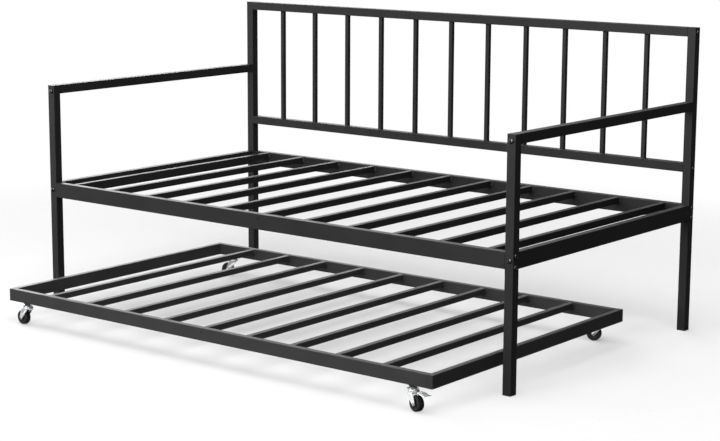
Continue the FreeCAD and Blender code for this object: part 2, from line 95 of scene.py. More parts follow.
# How far out from the bore the groove in a side wall starts, is deepest and ends
SIDE_GROOVE = (0.0019, 0.0024, 0.0030)
SIDE_GROOVE_DEPTH = 0.0006
TREAD_PITCHES = 28
TREAD_DEPTH = 0.0008
TREAD_LINE_WIDTH_IN_PITCHES = 0.13
TREAD_STEPS_ROUND_A_PITCH = 7
TREAD_STEPS_ACROSS = 24
SLAT_WELD_LEG = 0.0042
SLAT_WELD_MARGIN = 0.0025
SPINDLE_WELD_LEG = 0.0028
SPINDLE_WELD_MARGIN = 0.002
BOSS_WELD_LEG = 0.0030
WELD_RIPPLE = 0.0013
STRAIGHT_WELD_RIPPLE_DEPTH = 0.10
RING_WELD_RIPPLE_DEPTH = 0.12
WELD_RINGS_PER_RIPPLE = 4
WELD_FEWEST_RINGS = 8
WELD_SECTION_STEPS = 6
# How much less than its leg a bead measures in the middle of its face: 0 is a quarter round
WELD_FLATTENING = 0.20
# Share of its leg that a straight bead starts and ends with, and how fast it grows from there
WELD_END_SHARE = 0.35
WELD_END_GROWTH = 5.0
BOLT_HEAD_RADIUS = 0.0075
BOLT_HEAD_HEIGHT = 0.0040
BOLT_RIM_HEIGHT = 0.0008
BOLT_RIM_BEVEL = 0.0003
BOLT_CROWN_RADIUS = 0.0036
BOLT_SOCKET_FLATS = 0.0050
BOLT_SOCKET_MOUTH_FLATS = 0.0054
BOLT_SOCKET_DEPTH = 0.0026
BOLT_SOCKET_BEVEL = 0.0003
BOLT_SHANK_RADIUS = 0.0040
BOLT_LENGTH = 0.044
BOLT_SEGMENTS = 48
BOLT_DOME_STEPS = 9
SPINDLE_COUNT = 11
SPINDLE_SIZE = 0.015
# Outward direction of each side of a spindle, and the direction that its weld bead runs in
SPINDLE_SIDES = (
    (Vector((-1, 0, 0)), Vector((0, 1, 0))),
    (Vector((0, -1, 0)), Vector((1, 0, 0))),
    (Vector((1, 0, 0)), Vector((0, 1, 0))),
    (Vector((0, 1, 0)), Vector((1, 0, 0))),
)
BOSS_RADIUS = 0.0095

# Caster pieces. A point is its distance from the swivel axis, along the trailing direction, and its
# height above the floor. A circle's radius or the pedal's width comes third. A face or floor of the
# fork's leg is a distance from the wheel's middle plane.
LEG_INNER_FACE = 0.0115
LEG_OUTER_FACE = 0.0135
LEG_PANEL_FLOOR = 0.0129
LEG_CIRCLES = ((-0.0090, 0.0558, 0.0040), (0.0130, 0.0558, 0.0040), (0.0200, 0.0240, 0.0065))
PANEL_CIRCLES = ((-0.0055, 0.0535, 0.0025), (0.0100, 0.0535, 0.0025), (0.0170, 0.0360, 0.0025))
PEDAL_THICKNESS = 0.0018
PEDAL_NECK_WIDTH = 0.019
PEDAL_PAD_WIDTH = 0.025
PEDAL_CURL = 0.0012
PEDAL_PIVOT = (0.0140, 0.0530)
PEDAL_PATH = (
    (0.0140, 0.0530, PEDAL_NECK_WIDTH),
    (0.0200, 0.0552, PEDAL_NECK_WIDTH),
    (0.0310, 0.0593, PEDAL_NECK_WIDTH),
    (0.0370, 0.0597, PEDAL_PAD_WIDTH),
    (0.0450, 0.0600, PEDAL_PAD_WIDTH),
    (0.0670, 0.0545, PEDAL_PAD_WIDTH),
    (0.0690, 0.0575, PEDAL_PAD_WIDTH),
)
PEDAL_RIDGES = ((0.0500, 0.0590), (0.0550, 0.0578), (0.0600, 0.0565))
PEDAL_RIDGE_SIZE = (0.0018, 0.0170, 0.0016)
PEDAL_RIDGE_ROUNDING = 0.0006
PEDAL_RIDGE_TILT = math.radians(14)
PEDAL_CAM_PLACE = (0.0295, 0.0532)
PEDAL_CAM_SIZE = (0.0050, 0.0120, 0.0090)
PEDAL_CAM_ROUNDING = 0.0008
HUB_RIB_COUNT = 6
HUB_RIB_SIZE = (0.0076, 0.0016, 0.0034)
HUB_RIB_ROUNDING = 0.0004
# Distance of a rib's middle from the axle, and from the wheel's middle plane
HUB_RIB_RADIUS = 0.0107
HUB_RIB_OFFSET = 0.0070

# Points nearer than this are one: in the modelled pieces, and in the CAD meshes
MERGE_DISTANCE = 1e-7
CAD_MERGE_DISTANCE = 1e-6
SHARP_ANGLE = math.radians(40)
UP = Vector((0, 0, 1))


# ---- Material building ----
class Material:
    """A node material with one Principled shader, and short calls for the textures that drive it."""

    def __init__(self, name, **sockets):
        self.material = bpy.data.materials.new(name)
        self.material.use_nodes = True
        self.tree = self.material.node_tree
        self.shader = next(n for n in self.tree.nodes if n.type == "BSDF_PRINCIPLED")
        self.coordinates = self.node("ShaderNodeTexCoord").outputs["Object"]
        for socket, value in sockets.items():
            self.shader.inputs[socket.replace("_", " ")].default_value = value

    def node(self, kind, **settings):
        made = self.tree.nodes.new(kind)
        for setting, value in settings.items():
            setattr(made, setting, value)
        return made

    def link(self, output, target):
        self.tree.links.new(output, target)

    def noise(self, scale, detail=3.0, roughness=0.55):
        made = self.node("ShaderNodeTexNoise")
        made.inputs["Scale"].default_value = scale
        made.inputs["Detail"].default_value = detail
        made.inputs["Roughness"].default_value = roughness
        self.link(self.coordinates, made.inputs["Vector"])
        return made.outputs["Fac"]

    def cells(self, scale):
        made = self.node("ShaderNodeTexVoronoi")
        made.inputs["Scale"].default_value = scale
        self.link(self.coordinates, made.inputs["Vector"])
        return made.outputs["Distance"]

    def spread(self, value, low, high, from_low=0.3, from_high=0.7):
        """Stretches a texture's middle range over low to high."""
        made = self.node("ShaderNodeMapRange")
        self.link(value, made.inputs["Value"])
        made.inputs["From Min"].default_value = from_low
        made.inputs["From Max"].default_value = from_high
        made.inputs["To Min"].default_value = low
        made.inputs["To Max"].default_value = high
        return made.outputs["Result"]

    def math(self, operation, first, second):
        made = self.node("ShaderNodeMath", operation=operation)
        for socket, value in zip(made.inputs, (first, second)):
            if isinstance(value, (int, float)):
                socket.default_value = value
            else:
                self.link(value, socket)
        return made.outputs["Value"]

    def blend(self, factor, first, second):
        """Colour that goes from first to second as factor goes from 0 to 1."""
        made = self.node("ShaderNodeMix", data_type="RGBA")
        self.link(factor, made.inputs["Factor"])
        for socket, value in ((made.inputs[6], first), (made.inputs[7], second)):
            if isinstance(value, tuple):
                socket.default_value = (*value, 1.0)
            else:
                self.link(value, socket)
        return made.outputs[2]

    def upward(self):
        """1 where the surface faces up, 0 where it faces sideways or down."""
        geometry = self.node("ShaderNodeNewGeometry")
        split = self.node("ShaderNodeSeparateXYZ")
        self.link(geometry.outputs["Normal"], split.inputs["Vector"])
        return self.spread(split.outputs["Z"], low=0.0, high=1.0, from_low=0.6, from_high=1.0)

    def edges(self, radius):
        """1 along sharp edges, fading to 0 over about radius, in metres."""
        bevel = self.node("ShaderNodeBevel", samples=4)
        bevel.inputs["Radius"].default_value = radius
        geometry = self.node("ShaderNodeNewGeometry")
        turned = self.node("ShaderNodeVectorMath", operation="DOT_PRODUCT")
        self.link(bevel.outputs["Normal"], turned.inputs[0])
        self.link(geometry.outputs["Normal"], turned.inputs[1])
        return self.spread(turned.outputs["Value"], low=1.0, high=0.0, from_low=0.80, from_high=0.995)

    def roughness(self, value):
        self.link(value, self.shader.inputs["Roughness"])

    def colour(self, value):
        self.link(value, self.shader.inputs["Base Color"])

    def bump(self, height, strength, distance):
        made = self.node("ShaderNodeBump")
        made.inputs["Strength"].default_value = strength
        made.inputs["Distance"].default_value = distance
        self.link(height, made.inputs["Height"])
        self.link(made.outputs["Normal"], self.shader.inputs["Normal"])


def powder_coat(name, black, lift):
    """Satin powder coat: fine orange peel, paler and smoother on edges, faint dust on tops.

    black is the coat's darkest grey, and lift what mottling adds to it.
    """
    edge_grey = black + 0.013
    dust_grey = black + 0.011
    made = Material(name, Specular_IOR_Level=0.35)
    mottle = made.noise(scale=9.0, detail=4.0)
    grain = made.noise(scale=1100.0, detail=2.0)
    peel = made.cells(scale=620.0)
    edge = made.edges(radius=0.0012)
    patches = made.spread(made.noise(scale=45.0, detail=5.0), low=0.0, high=0.5)
    dust = made.math("MULTIPLY", made.upward(), patches)
    coat = made.blend(made.spread(mottle, low=0.0, high=1.0), (black,) * 3, (black + lift,) * 3)
    worn = made.blend(made.math("MULTIPLY", edge, 0.5), coat, (edge_grey,) * 3)
    made.colour(made.blend(dust, worn, (dust_grey,) * 3))
    base_rough = made.spread(mottle, low=0.46, high=0.54)
    made.roughness(made.math("SUBTRACT", base_rough, made.math("MULTIPLY", edge, 0.10)))
    texture = made.math("ADD", peel, made.math("MULTIPLY", grain, 0.6))
    made.bump(texture, strength=0.35, distance=0.00012)
    return made.material


def weld_metal(name):
    """Powder coat over a weld bead: a black near that of both beds, and a little glossier."""
    made = Material(name, Specular_IOR_Level=0.35)
    mottle = made.noise(scale=300.0)
    made.colour(made.blend(mottle, (0.014, 0.014, 0.0145), (0.024, 0.024, 0.025)))
    made.roughness(made.spread(made.noise(scale=160.0), low=0.30, high=0.45))
    made.bump(made.noise(scale=1400.0, detail=2.0), strength=0.25, distance=0.0001)
    return made.material


def moulded_plastic(name):
    """Black moulded plastic with a spark-eroded grain."""
    made = Material(name, Specular_IOR_Level=0.35)
    mottle = made.noise(scale=60.0)
    shade = made.spread(mottle, low=0.0, high=1.0)
    made.colour(made.blend(shade, (0.010, 0.010, 0.011), (0.017, 0.017, 0.018)))
    made.roughness(made.spread(mottle, low=0.42, high=0.56))
    made.bump(made.cells(scale=1500.0), strength=0.3, distance=0.0001)
    return made.material


def tyre_rubber(name):
    """Black rubber with patches of grey floor dust."""
    made = Material(name, Specular_IOR_Level=0.3)
    patches = made.noise(scale=170.0, detail=5.0)
    dust = made.spread(patches, low=0.0, high=0.6, from_low=0.45, from_high=0.75)
    made.colour(made.blend(dust, (0.009, 0.009, 0.0095), (0.034, 0.033, 0.032)))
    made.roughness(made.spread(made.noise(scale=400.0), low=0.55, high=0.72))
    made.bump(made.noise(scale=1800.0, detail=2.0), strength=0.3, distance=0.0001)
    return made.material


def bare_metal(name, colour, tint, rough, scratch_depth, metallic=1.0):
    """Plating or bare steel whose colour drifts to tint, with hairline scratches and duller patches.

    rough is the range of roughness between the shiniest and the dullest patches.
    """
    made = Material(name, Metallic=metallic)
    drift = made.spread(made.noise(scale=70.0), low=0.0, high=1.0)
    made.colour(made.blend(drift, colour, tint))
    smudge = made.noise(scale=240.0, detail=5.0, roughness=0.7)
    made.roughness(made.spread(smudge, *rough))
    stretch = made.node("ShaderNodeMapping")
    stretch.inputs["Scale"].default_value = (900.0, 900.0, 90.0)
    made.link(made.coordinates, stretch.inputs["Vector"])
    scratch = made.node("ShaderNodeTexNoise")
    scratch.inputs["Scale"].default_value = 1.0
    made.link(stretch.outputs["Vector"], scratch.inputs["Vector"])
    made.bump(scratch.outputs["Fac"], strength=0.2, distance=scratch_depth)
    return made.material


def studio_floor(name):
    """Matt pale floor with a faint paper texture, which fades out to the white backdrop."""
    made = Material(name, Specular_IOR_Level=0.1, Roughness=0.9)
    cloud = made.noise(scale=3.0, detail=5.0)
    made.colour(made.blend(cloud, (0.625, 0.625, 0.63), (0.645, 0.645, 0.645)))
    made.bump(made.noise(scale=600.0, detail=2.0), strength=0.05, distance=0.0002)
    distance = made.node("ShaderNodeVectorMath", operation="DISTANCE")
    distance.inputs[1].default_value = FLOOR_FADE_CENTRE
    made.link(made.coordinates, distance.inputs[0])
    fade = made.spread(
        distance.outputs["Value"], low=0.0, high=1.0, from_low=FLOOR_FADE_START, from_high=FLOOR_FADE_END
    )
    clear = made.node("ShaderNodeBsdfTransparent")
    mix = made.node("ShaderNodeMixShader")
    output = next(n for n in made.tree.nodes if n.type == "OUTPUT_MATERIAL")
    made.link(fade, mix.inputs["Fac"])
    made.link(made.shader.outputs["BSDF"], mix.inputs[1])
    made.link(clear.outputs["BSDF"], mix.inputs[2])
    made.link(mix.outputs["Shader"], output.inputs["Surface"])
    return made.material


# Colour, tint, range of roughness, depth of the scratches and, where it isn't 1, metallic share
METALS = {
    "bolt_black": ((0.12, 0.12, 0.125), (0.085, 0.085, 0.09), (0.14, 0.24), 0.00002),
    "plate_steel": ((0.42, 0.42, 0.43), (0.33, 0.32, 0.31), (0.35, 0.55), 0.00005),
    "stem_zinc": ((0.74, 0.75, 0.77), (0.66, 0.67, 0.69), (0.16, 0.30), 0.00002, 0.8),
    "fork_chrome": ((0.90, 0.91, 0.92), (0.84, 0.85, 0.87), (0.14, 0.26), 0.00001, 0.7),
    "pedal_zinc": ((0.86, 0.87, 0.88), (0.78, 0.79, 0.81), (0.18, 0.32), 0.00002, 0.7),
    "axle_zinc": ((0.62, 0.63, 0.66), (0.54, 0.55, 0.58), (0.18, 0.34), 0.00002),
}

MATERIALS = {slot: bare_metal(slot, *look) for slot, look in METALS.items()}
MATERIALS["frame_powder_coat"] = powder_coat("frame_powder_coat", black=0.0090, lift=0.003)
MATERIALS["trundle_powder_coat"] = powder_coat("trundle_powder_coat", black=0.0210, lift=0.005)
MATERIALS["plug_plastic"] = moulded_plastic("plug_plastic")
MATERIALS["hub_plastic"] = moulded_plastic("hub_plastic")
MATERIALS["tyre_rubber"] = tyre_rubber("tyre_rubber")
MATERIALS["weld_metal"] = weld_metal("weld_metal")


def dress_nodes():
    """Gives each CAD node the material of its slot in the record."""
    for entry in frame["record"]["subparts"]:
        node = NODES[entry["node"]]
        node.data.materials.clear()
        node.data.materials.append(MATERIALS[entry["material_slot"]])


# ---- Mesh building ----
def new_piece(name, mesh_maker, slot, body, material=None):
    """Object made by mesh_maker(bmesh), smooth but for its sharp edges, that rides on body.

    Its material is its slot's, unless another is named.
    """
    data = bpy.data.meshes.new(name)
    bm = bmesh.new()
    mesh_maker(bm)
    bmesh.ops.recalc_face_normals(bm, faces=bm.faces)
    bm.to_mesh(data)
    bm.free()
    piece = bpy.data.objects.new(name, data)
    bpy.context.scene.collection.objects.link(piece)
    data.materials.append(MATERIALS[material or slot])
    data.shade_smooth()
    data.set_sharp_from_angle(angle=SHARP_ANGLE)
    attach(piece, body)
    return piece


def skin(bm, rings, capped=False):
    """Faces between consecutive rings of points, each ring with the same number of points.

    capped closes both ends with a face. Points that come twice, as where the last ring is also
    the first, are merged if it is not capped.
    """
    made = [[bm.verts.new(point) for point in ring] for ring in rings]
    count = len(made[0])
    for near, far in zip(made, made[1:]):
        for i in range(count):
            j = (i + 1) % count
            bm.faces.new((near[i], near[j], far[j], far[i]))
    if capped:
        bm.faces.new(list(reversed(made[0])))
        bm.faces.new(made[-1])
    else:
        bmesh.ops.remove_doubles(bm, verts=bm.verts, dist=MERGE_DISTANCE)


def span(points):
    """Lowest and highest corner of the box round some points."""
    low = Vector(min(point[i] for point in points) for i in range(3))
    high = Vector(max(point[i] for point in points) for i in range(3))
    return low, high


def rounded_block(bm, place, size, radius):
    """Block centred on place with rounded edges."""
    made = bmesh.ops.create_cube(bm, size=1.0, matrix=place @ Matrix.Diagonal((*size, 1.0)))
    edges = dict.fromkeys(edge for vertex in made["verts"] for edge in vertex.link_edges)
    bmesh.ops.bevel(bm, geom=list(edges), offset=radius, segments=3, affect="EDGES", profile=0.5)


# ---- Local frames of the lower bed and its casters ----
def joint_place(name):
    return Vector(JOINTS[name]["pos_m"])


def trundle_frame():
    """Matrix from the lower bed's own frame to the row frame, found from its four swivels."""
    swivels = {corner: joint_place("swivel_" + corner) for corner in CORNERS}
    centre = sum(swivels.values(), Vector()) / len(swivels)
    centre.z = 0.0
    along = (swivels["front_right"] - swivels["front_left"]).normalized()
    turn = Matrix((along, UP.cross(along), UP)).transposed().to_4x4()
    return Matrix.Translation(centre) @ turn


def caster_frame(corner):
    """Matrix from a caster's own frame (swivel axis on Z, trailing along +X) to the row frame."""
    swivel = joint_place("swivel_" + corner)
    wheel = joint_place("roll_" + corner)
    trailing = Vector((wheel.x - swivel.x, wheel.y - swivel.y, 0.0)).normalized()
    turn = Matrix((trailing, UP.cross(trailing), UP)).transposed().to_4x4()
    return Matrix.Translation((swivel.x, swivel.y, 0.0)) @ turn


def wheel_frame(corner):
    """As caster_frame, with the origin at the wheel's centre."""
    place = caster_frame(corner)
    place.translation = joint_place("roll_" + corner)
    return place


def local_box(node, place):
    """Lowest and highest corner of a CAD node, in the frame that place is the matrix of."""
    back = place.inverted()
    return span([back @ vertex.co for vertex in NODES[node].data.vertices])


# ---- Tyres ----
def tread_groove(around, across):
    """0 to 1 depth of the diamond tread at a point; around is in pitches, across in metres."""
    pitch = 2 * math.pi * TYRE_RADIUS / TREAD_PITCHES
    sideways = across / pitch
    deepest = 0.0
    for diagonal in (around + sideways, around - sideways):
        off_line = abs(diagonal - round(diagonal))
        deepest = max(deepest, math.exp(-((off_line / TREAD_LINE_WIDTH_IN_PITCHES) ** 2)))
    return deepest


def tyre_side():
    """Section of one side, from the bore's edge over the side groove to the end of the shoulder."""
    half = TYRE_WIDTH / 2
    groove_start, groove_bottom, groove_end = SIDE_GROOVE
    section = [
        (TYRE_BORE, -half + BORE_CHAMFER, False),
        (TYRE_BORE + BORE_CHAMFER, -half, False),
        (TYRE_BORE + groove_start, -half, False),
        (TYRE_BORE + groove_bottom, -half + SIDE_GROOVE_DEPTH, False),
        (TYRE_BORE + groove_end, -half, False),
    ]
    for step in range(SHOULDER_STEPS + 1):
        angle = math.radians(90 * step / SHOULDER_STEPS)
        radius = TYRE_RADIUS - SHOULDER_RADIUS + SHOULDER_RADIUS * math.sin(angle)
        across = -(half - SHOULDER_RADIUS) - SHOULDER_RADIUS * math.cos(angle)
        section.append((radius, across, step > SHOULDER_STEPS_WITHOUT_TREAD))
    return section


def tyre_profile():
    """Section from one edge of the bore round to the other: (radius, across, whether it has tread)."""
    near = tyre_side()
    far = [(radius, -across, on_tread) for radius, across, on_tread in reversed(near)]
    flat = TYRE_WIDTH / 2 - SHOULDER_RADIUS
    middle = []
    for step in range(1, TREAD_STEPS_ACROSS):
        across = -flat + 2 * flat * step / TREAD_STEPS_ACROSS
        middle.append((TYRE_RADIUS, across, True))
    return near + middle + far


def tyre_mesh(bm, place):
    """Tyre with a knurled diamond tread; the bore is closed by the last strip of faces."""
    segments = TREAD_PITCHES * TREAD_STEPS_ROUND_A_PITCH
    rings = []
    for radius, across, on_tread in tyre_profile():
        ring = []
        for step in range(segments):
            angle = 2 * math.pi * step / segments
            reach = radius
            if on_tread:
                groove = tread_groove(step * TREAD_PITCHES / segments, across)
                reach -= TREAD_DEPTH * groove
            ring.append(place @ Vector((reach * math.sin(angle), across, reach * math.cos(angle))))
        rings.append(ring)
    skin(bm, rings + [rings[0]])


def make_tyres():
    for corner in CORNERS:
        place = wheel_frame(corner)
        tyre = new_piece(
            f"tyre_{corner}", lambda bm: tyre_mesh(bm, place), "tyre_rubber", f"wheel_{corner}"
        )
        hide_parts(f"caster_tyre_{corner}")


# ---- Casters ----
def lathe(bm, axis, profile, segments=72, closed=False):
    """Turned shape about axis's Z from (radius, height) points; closed joins the last to the first."""
    rings = []
    for radius, height in profile:
        ring = []
        for step in range(segments):
            angle = 2 * math.pi * step / segments
            ring.append(axis @ Vector((radius * math.cos(angle), radius * math.sin(angle), height)))
        rings.append(ring)
    if closed:
        rings.append(rings[0])
    skin(bm, rings)


def hull_outline(circles, grow, samples=96):
    """Outline of circles (along, up, radius) wrapped by a belt, each circle's radius changed by grow."""
    outline = []
    for step in range(samples):
        angle = 2 * math.pi * step / samples
        toward = Vector((math.cos(angle), math.sin(angle)))
        along, up, radius = max(circles, key=lambda c: c[0] * toward.x + c[1] * toward.y + c[2])
        outline.append((along + (radius + grow) * toward.x, up + (radius + grow) * toward.y))
    return outline


def fork_leg(bm, place, side):
    """One leg of the fork, with softened edges and a pressed panel in its outer face."""
    # Circles that the outline wraps, how much it grows, and its distance from the wheel's middle
    steps = (
        (LEG_CIRCLES, -0.0004, LEG_INNER_FACE),
        (LEG_CIRCLES, 0.0, LEG_INNER_FACE + 0.0003),
        (LEG_CIRCLES, 0.0, LEG_OUTER_FACE - 0.0005),
        (LEG_CIRCLES, -0.00015, LEG_OUTER_FACE - 0.00015),
        (LEG_CIRCLES, -0.0005, LEG_OUTER_FACE),
        (PANEL_CIRCLES, 0.0006, LEG_OUTER_FACE),
        (PANEL_CIRCLES, 0.0002, LEG_OUTER_FACE - 0.0001),
        (PANEL_CIRCLES, 0.0, LEG_PANEL_FLOOR + 0.0003),
        (PANEL_CIRCLES, -0.0003, LEG_PANEL_FLOOR + 0.00005),
        (PANEL_CIRCLES, -0.0008, LEG_PANEL_FLOOR),
    )
    rings = []
    for circles, grow, across in steps:
        outline = hull_outline(circles, grow)
        rings.append([place @ Vector((along, side * across, up)) for along, up in outline])
    skin(bm, rings, capped=True)


def fork_mesh(bm, place):
    """Pressed crown with a raised race ring and a rolled skirt, and its two legs."""
    crown = (
        (0.0172, 0.0570), (0.0186, 0.0570), (0.0190, 0.0573), (0.0190, 0.0600), (0.0188, 0.0608),
        (0.0183, 0.0614), (0.0176, 0.0617), (0.0168, 0.0617), (0.0163, 0.0613), (0.0157, 0.0613),
        (0.0152, 0.0617), (0.0140, 0.0620), (0.0070, 0.0620), (0.0064, 0.0618), (0.0031, 0.0618),
        (0.0031, 0.0600), (0.0060, 0.0598), (0.0158, 0.0598), (0.0168, 0.0594), (0.0172, 0.0586),
    )
    lathe(bm, place, crown, closed=True)
    for side in (-1, 1):
        fork_leg(bm, place, side)


def swivel_head_mesh(bm, place):
    """Rivet, coned upper race, collar and stem, turned as one."""
    profile = (
        (0.0, 0.0575), (0.0044, 0.0576), (0.0053, 0.0582), (0.0055, 0.0588), (0.0055, 0.0595),
        (0.0030, 0.0595), (0.0030, 0.0623), (0.0152, 0.0623), (0.0160, 0.0628), (0.0167, 0.0634),
        (0.0170, 0.0640), (0.0170, 0.0649), (0.0167, 0.0655), (0.0161, 0.0657), (0.0146, 0.0657),
        (0.0138, 0.0658), (0.0130, 0.0661), (0.0091, 0.0682), (0.0083, 0.0687), (0.0073, 0.0689),
        (0.0070, 0.0692), (0.0070, 0.0700), (0.0040, 0.0700), (0.0040, 0.0872), (0.0034, 0.0880),
        (0.0, 0.0880),
    )
    lathe(bm, place, profile)


def axle_mesh(bm, axis):
    """Axle rivet with a dimpled head at each end."""
    half = (
        (0.0, 0.0139), (0.0017, 0.0139), (0.0020, 0.0142), (0.0021, 0.0147), (0.0024, 0.0151),
        (0.0036, 0.0151), (0.0042, 0.0148), (0.0045, 0.0143), (0.0045, 0.0135), (0.0030, 0.0135),
    )
    far = [(radius, -height) for radius, height in reversed(half)]
    lathe(bm, axis, list(half) + far, segments=48)


def hub_mesh(bm, axis):
    """Moulded hub: rim, dished web, bored boss and ribs on each side."""
    half = (
        (0.0031, 0.0110), (0.0034, 0.0112), (0.0064, 0.0112), (0.0070, 0.0108), (0.0072, 0.0062),
        (0.0079, 0.0055), (0.0137, 0.0055), (0.0143, 0.0059), (0.0146, 0.0090), (0.0150, 0.0095),
        (0.0168, 0.0095), (0.0170, 0.0093),
    )
    far = [(radius, -height) for radius, height in reversed(half)]
    lathe(bm, axis, list(half) + far, closed=True)
    for side in (-1, 1):
        out = Matrix.Translation((HUB_RIB_RADIUS, 0, side * HUB_RIB_OFFSET))
        for number in range(HUB_RIB_COUNT):
            turn = Matrix.Rotation(math.radians(360 * number / HUB_RIB_COUNT), 4, "Z")
            rounded_block(bm, axis @ turn @ out, HUB_RIB_SIZE, HUB_RIB_ROUNDING)


def smoothed(path, rounds=3):
    """Path with its corners cut, rounds times over, and its ends kept."""
    points = [Vector(point) for point in path]
    for _ in range(rounds):
        cut = [points[0]]
        for near, far in zip(points, points[1:]):
            cut += [near.lerp(far, 0.25), near.lerp(far, 0.75)]
        points = cut + [points[-1]]
    return points


def pedal_section(width):
    """Cross-section (across, up) of the pressed pedal: a flat strip whose edges curl down on the pad."""
    half = width / 2 - PEDAL_THICKNESS / 2
    share = (width - PEDAL_NECK_WIDTH) / (PEDAL_PAD_WIDTH - PEDAL_NECK_WIDTH)
    curl = PEDAL_CURL * share
    steps = 10
    middle = []
    for step in range(steps + 1):
        across = -1 + 2 * step / steps
        middle.append((half * across, -curl * abs(across) ** 3))
    upper = [(across, up + PEDAL_THICKNESS / 2) for across, up in middle]
    lower = [(across, up - PEDAL_THICKNESS / 2) for across, up in reversed(middle)]
    right = (half + PEDAL_THICKNESS / 2, -curl)
    left = (-half - PEDAL_THICKNESS / 2, -curl)
    return upper + [right] + lower + [left]


def pedal_mesh(bm, place):
    """Pressed foot pedal with its knuckle, cross pin, cam and grip ridges."""
    path = smoothed(PEDAL_PATH)
    rings = []
    for index, point in enumerate(path):
        before = path[max(index - 1, 0)]
        after = path[min(index + 1, len(path) - 1)]
        run = Vector((after.x - before.x, after.y - before.y)).normalized()
        ring = []
        for across, up in pedal_section(point.z):
            ring.append(place @ Vector((point.x - run.y * up, across, point.y + run.x * up)))
        rings.append(ring)
    skin(bm, rings, capped=True)
    pivot = place @ Matrix.Translation((PEDAL_PIVOT[0], 0, PEDAL_PIVOT[1]))
    pivot = pivot @ Matrix.Rotation(math.radians(90), 4, "X")
    pin_and_knuckle = [
        (0.0, 0.0145), (0.0012, 0.0145), (0.0018, 0.0141), (0.0018, 0.0095), (0.0025, 0.0095),
        (0.0028, 0.0092),
    ]
    far = [(radius, -height) for radius, height in reversed(pin_and_knuckle)]
    lathe(bm, pivot, pin_and_knuckle + far, segments=40)
    cam = place @ Matrix.Translation((PEDAL_CAM_PLACE[0], 0, PEDAL_CAM_PLACE[1]))
    rounded_block(bm, cam, PEDAL_CAM_SIZE, PEDAL_CAM_ROUNDING)
    tilt = Matrix.Rotation(PEDAL_RIDGE_TILT, 4, "Y")
    for along, up in PEDAL_RIDGES:
        ridge = place @ Matrix.Translation((along, 0, up)) @ tilt
        rounded_block(bm, ridge, PEDAL_RIDGE_SIZE, PEDAL_RIDGE_ROUNDING)


def make_casters():
    for corner in CORNERS:
        place = caster_frame(corner)
        axis = wheel_frame(corner) @ Matrix.Rotation(math.radians(90), 4, "X")
        body = f"caster_{corner}"
        fork = new_piece(f"fork_{corner}", lambda bm: fork_mesh(bm, place), "fork_chrome", body)
        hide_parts(f"caster_fork_{corner}")
        axle = new_piece(f"axle_{corner}", lambda bm: axle_mesh(bm, axis), "axle_zinc", body)
        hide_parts(f"caster_axle_{corner}")
        hub = new_piece(f"hub_{corner}", lambda bm: hub_mesh(bm, axis), "hub_plastic", f"wheel_{corner}")
        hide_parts(f"caster_hub_{corner}")
        if f"brake_{corner}" in JOINTS:
            pedal = new_piece(
                f"pedal_{corner}", lambda bm: pedal_mesh(bm, place), "pedal_zinc", f"brake_{corner}"
            )
            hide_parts(f"caster_brake_{corner}")

    def all_heads(bm):
        for corner in CORNERS:
            swivel_head_mesh(bm, caster_frame(corner))

    heads = new_piece("swivel_heads", all_heads, "stem_zinc", "trundle")
    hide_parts("caster_stems")


# ---- Bolts ----
def hexagon_radius(angle, flats):
    """Distance from centre to a hexagon's side in the given direction."""
    sector = math.radians(60)
    off_flat = (angle + sector / 2) % sector - sector / 2
    return flats / 2 / math.cos(off_flat)


def bolt_mesh(bm, seat, direction):
    """Button-head socket bolt, seat of the head at seat, head pointing along direction."""
    place = Matrix.Translation(seat) @ direction.to_track_quat("Z", "Y").to_matrix().to_4x4()
    angles = [2 * math.pi * step / BOLT_SEGMENTS for step in range(BOLT_SEGMENTS)]

    def circle(radius, height):
        return [place @ Vector((radius * math.cos(a), radius * math.sin(a), height)) for a in angles]

    def hexagon(flats, height):
        points = []
        for a in angles:
            radius = hexagon_radius(a, flats)
            points.append(place @ Vector((radius * math.cos(a), radius * math.sin(a), height)))
        return points

    rings = [
        circle(BOLT_SHANK_RADIUS, -BOLT_LENGTH),
        circle(BOLT_SHANK_RADIUS, 0.0),
        circle(BOLT_HEAD_RADIUS - BOLT_RIM_BEVEL, 0.0),
        circle(BOLT_HEAD_RADIUS, BOLT_RIM_BEVEL),
    ]
    for step in range(BOLT_DOME_STEPS + 1):
        t = math.radians(90 * step / BOLT_DOME_STEPS)
        radius = BOLT_CROWN_RADIUS + (BOLT_HEAD_RADIUS - BOLT_CROWN_RADIUS) * math.cos(t)
        height = BOLT_RIM_HEIGHT + (BOLT_HEAD_HEIGHT - BOLT_RIM_HEIGHT) * math.sin(t)
        rings.append(circle(radius, height))
    rings.append(hexagon(BOLT_SOCKET_MOUTH_FLATS, BOLT_HEAD_HEIGHT))
    rings.append(hexagon(BOLT_SOCKET_FLATS, BOLT_HEAD_HEIGHT - BOLT_SOCKET_BEVEL))
    rings.append(hexagon(BOLT_SOCKET_FLATS, BOLT_HEAD_HEIGHT - BOLT_SOCKET_DEPTH))
    skin(bm, rings, capped=True)


def separate_solids(bm):
    """The vertices of each separate solid, in the order that the mesh has them."""
    solids = []
    grouped = set()
    for first in bm.verts:
        if first in grouped:
            continue
        grouped.add(first)
        solid = [first]
        for vertex in solid:
            for edge in vertex.link_edges:
                other = edge.other_vert(vertex)
                if other not in grouped:
                    grouped.add(other)
                    solid.append(other)
        solids.append(solid)
    return solids


